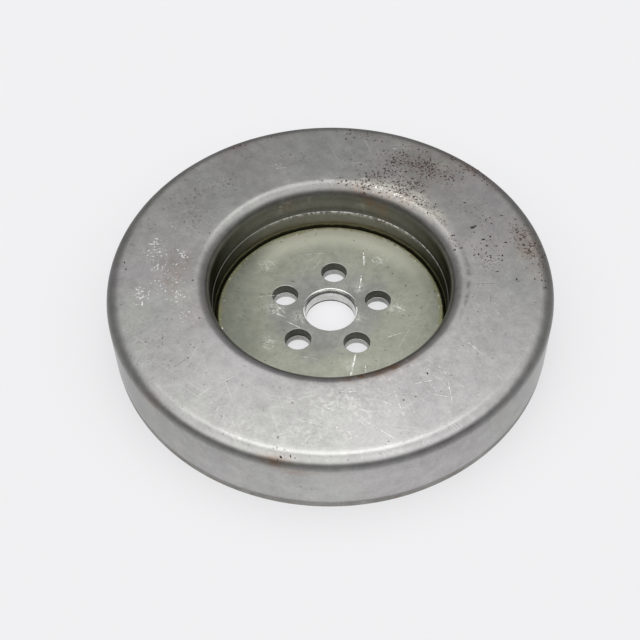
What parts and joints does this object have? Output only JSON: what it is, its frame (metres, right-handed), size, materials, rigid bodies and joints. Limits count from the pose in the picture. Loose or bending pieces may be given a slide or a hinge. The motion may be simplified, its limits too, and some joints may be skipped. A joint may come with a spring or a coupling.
{
  "type": "camshaft vibration damper",
  "caption": "Round drawn-steel damper with a deep central well, a pilot bore and bolt holes in its hub, and a free-turning inertia ring sealed inside.",
  "frame": {"origin": "on the axis, on the mounting face that meets the camshaft gear", "axes": "+Z along the axis, out of the well; the bolt hole nearest +Y stands 4.75 degrees towards +X from it"},
  "size_m": [0.2, 0.2, 0.0328],
  "materials": {
    "casing_steel": "satin drawn sheet steel, scuffed, with light rust speckles",
    "base_steel": "rolled steel plate, dull, with a darker weld seam",
    "hub_steel": "steel with a thin film of old oil, scratched",
    "ring_iron": "turned, wet with silicone fluid",
    "pad_plastic": "natural moulded plastic",
    "plug_steel": "turned steel"
  },
  "bodies": {
    "housing": {"casing": "casing_steel", "base_plate": "base_steel", "hub_disc": "hub_steel", "fill_plug_1": "plug_steel", "fill_plug_2": "plug_steel"},
    "inertia": {"inertia_ring": "ring_iron", "radial_pad_1": "pad_plastic", "radial_pad_2": "pad_plastic", "radial_pad_3": "pad_plastic", "radial_pad_4": "pad_plastic", "radial_pad_5": "pad_plastic", "radial_pad_6": "pad_plastic", "front_thrust_pad_1": "pad_plastic", "front_thrust_pad_2": "pad_plastic", "front_thrust_pad_3": "pad_plastic", "front_thrust_pad_4": "pad_plastic", "front_thrust_pad_5": "pad_plastic", "front_thrust_pad_6": "pad_plastic", "rear_thrust_pad_1": "pad_plastic", "rear_thrust_pad_2": "pad_plastic", "rear_thrust_pad_3": "pad_plastic", "rear_thrust_pad_4": "pad_plastic", "rear_thrust_pad_5": "pad_plastic", "rear_thrust_pad_6": "pad_plastic"}
  },
  "joints": [
    {"name": "inertia_ring_spin", "type": "hinge", "parent": "housing", "child": "inertia", "pos_m": [0, 0, 0.0164], "axis": [0, 0, 1], "continuous": true}
  ]
}
